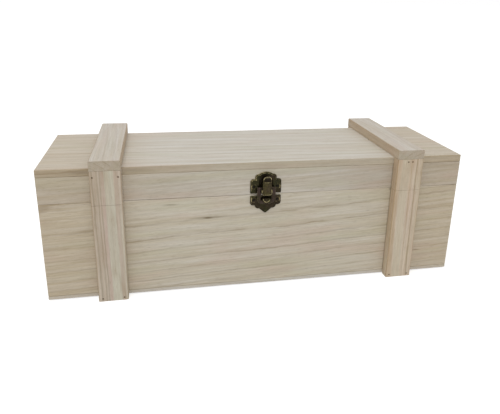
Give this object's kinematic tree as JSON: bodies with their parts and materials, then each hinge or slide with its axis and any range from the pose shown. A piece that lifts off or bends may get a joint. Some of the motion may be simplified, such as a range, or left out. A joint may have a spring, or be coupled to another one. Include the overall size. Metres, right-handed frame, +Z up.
{
  "type": "wine box",
  "caption": "Long wooden box for a wine bottle, sawn into base and lid, with crating battens, rear butt hinges and a front toggle latch.",
  "frame": {"origin": "on the surface that the box stands on, under the middle of the body", "axes": "+X along the box, to the right as seen from the front; the front with the latch faces -Y; +Z up"},
  "size_m": [0.35, 0.125, 0.1188],
  "materials": {
    "board_wood": "raw sanded paulownia, fine straight grain along the box",
    "batten_wood": "raw sawn paulownia, grain along the batten",
    "latch_bronze": "antique bronze, dark in the hollows and worn bright on the edges",
    "hinge_bronze": "antique bronze, dark",
    "brad_steel": "dull wire"
  },
  "bodies": {
    "base": {"base_front_board": "board_wood", "base_back_board": "board_wood", "base_left_end": "board_wood", "base_right_end": "board_wood", "bottom_panel": "board_wood", "base_front_batten_left": "batten_wood", "base_front_batten_right": "batten_wood", "base_back_batten_left": "batten_wood", "base_back_batten_right": "batten_wood", "base_batten_brads": "brad_steel", "hinge_left_base_leaf": "hinge_bronze", "hinge_right_base_leaf": "hinge_bronze", "hinge_left_pin": "hinge_bronze", "hinge_right_pin": "hinge_bronze", "hinge_base_nails": "hinge_bronze", "latch_base_plate": "latch_bronze", "latch_base_nails": "latch_bronze"},
    "lid": {"lid_top_panel": "board_wood", "lid_front_board": "board_wood", "lid_back_board": "board_wood", "lid_left_end": "board_wood", "lid_right_end": "board_wood", "top_batten_left": "batten_wood", "top_batten_right": "batten_wood", "lid_front_batten_left": "batten_wood", "lid_front_batten_right": "batten_wood", "lid_back_batten_left": "batten_wood", "lid_back_batten_right": "batten_wood", "lid_batten_brads": "brad_steel", "hinge_left_lid_leaf": "hinge_bronze", "hinge_right_lid_leaf": "hinge_bronze", "hinge_lid_nails": "hinge_bronze", "latch_lid_plate": "latch_bronze", "latch_lid_nails": "latch_bronze", "latch_pivot_pin": "brad_steel"},
    "lever": {"latch_lever": "latch_bronze"},
    "bail": {"latch_bail": "latch_bronze"}
  },
  "joints": [
    {"name": "lid_hinge", "type": "hinge", "parent": "base", "child": "lid", "pos_m": [0, 0.0622, 0.08315], "axis": [-1, 0, 0], "range_deg": [0, 180]},
    {"name": "latch_throw", "type": "hinge", "parent": "lid", "child": "lever", "pos_m": [0.001, -0.057, 0.08715], "axis": [1, 0, 0], "range_deg": [0, 110]},
    {"name": "bail_swing", "type": "hinge", "parent": "lever", "child": "bail", "pos_m": [0.001, -0.05665, 0.08988], "axis": [1, 0, 0], "range_deg": [-94.6, 0]}
  ],
  "couplings": [
    {"joint": "bail_swing", "follows": "latch_throw", "ratio": -0.86}
  ]
}
